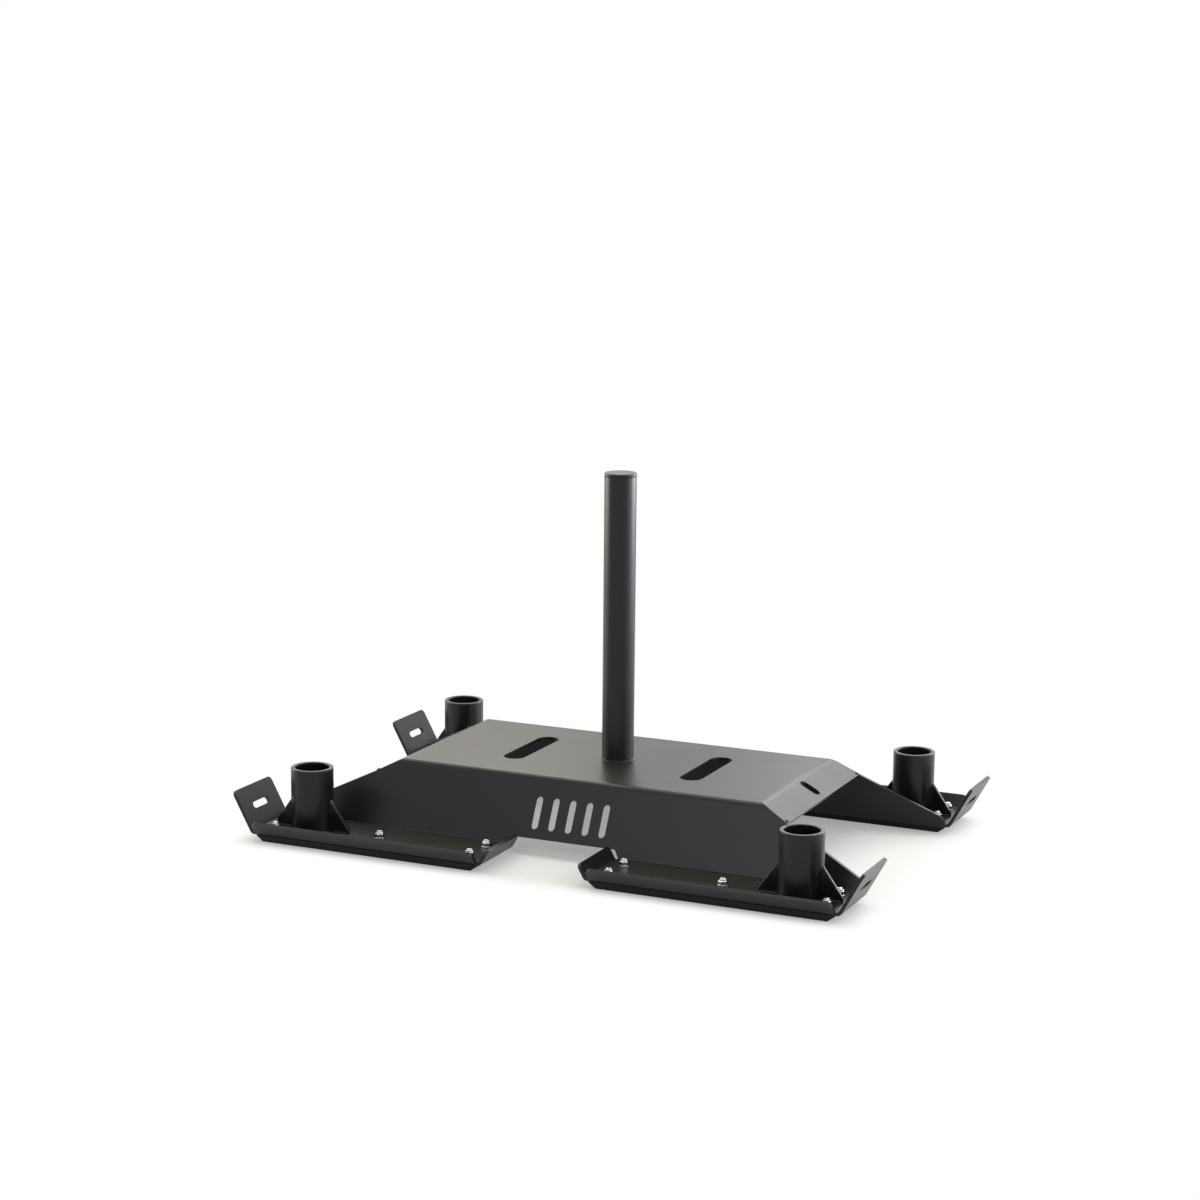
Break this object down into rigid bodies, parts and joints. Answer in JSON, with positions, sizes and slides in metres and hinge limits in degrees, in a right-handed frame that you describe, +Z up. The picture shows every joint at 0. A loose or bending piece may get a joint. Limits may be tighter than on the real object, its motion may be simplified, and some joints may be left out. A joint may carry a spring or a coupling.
{
  "type": "drag sled",
  "caption": "Low black steel drag sled with a weight post on a folded deck, corner trays with pole sockets and tow tabs, and bolted wear skids.",
  "frame": {"origin": "on the ground under the middle of the weight post, which is the bottom centre of the bounding box", "axes": "+X along the sled towards its right end, +Y towards its rear side, +Z up"},
  "size_m": [0.9952, 0.6286, 0.5475],
  "materials": {
    "black_paint": "satin black powder coat with a fine texture",
    "skid_plastic": "matt black, scuffed underneath",
    "zinc_steel": "bright zinc plate"
  },
  "bodies": {
    "root": {"deck": "black_paint", "front_side_plate": "black_paint", "rear_side_plate": "black_paint", "weight_post": "black_paint", "post_cap": "black_paint", "post_doubler": "black_paint", "front_left_tray": "black_paint", "front_left_skid": "skid_plastic", "front_left_socket": "black_paint", "front_left_outer_gusset": "black_paint", "front_left_inner_gusset": "black_paint", "front_left_bolt_1": "zinc_steel", "front_left_bolt_2": "zinc_steel", "front_left_bolt_3": "zinc_steel", "front_left_bolt_4": "zinc_steel", "front_left_bolt_5": "zinc_steel", "front_right_tray": "black_paint", "front_right_skid": "skid_plastic", "front_right_socket": "black_paint", "front_right_outer_gusset": "black_paint", "front_right_inner_gusset": "black_paint", "front_right_bolt_1": "zinc_steel", "front_right_bolt_2": "zinc_steel", "front_right_bolt_3": "zinc_steel", "front_right_bolt_4": "zinc_steel", "front_right_bolt_5": "zinc_steel", "rear_left_tray": "black_paint", "rear_left_skid": "skid_plastic", "rear_left_socket": "black_paint", "rear_left_outer_gusset": "black_paint", "rear_left_inner_gusset": "black_paint", "rear_left_bolt_1": "zinc_steel", "rear_left_bolt_2": "zinc_steel", "rear_left_bolt_3": "zinc_steel", "rear_left_bolt_4": "zinc_steel", "rear_left_bolt_5": "zinc_steel", "rear_right_tray": "black_paint", "rear_right_skid": "skid_plastic", "rear_right_socket": "black_paint", "rear_right_outer_gusset": "black_paint", "rear_right_inner_gusset": "black_paint", "rear_right_bolt_1": "zinc_steel", "rear_right_bolt_2": "zinc_steel", "rear_right_bolt_3": "zinc_steel", "rear_right_bolt_4": "zinc_steel", "rear_right_bolt_5": "zinc_steel"}
  },
  "joints": []
}
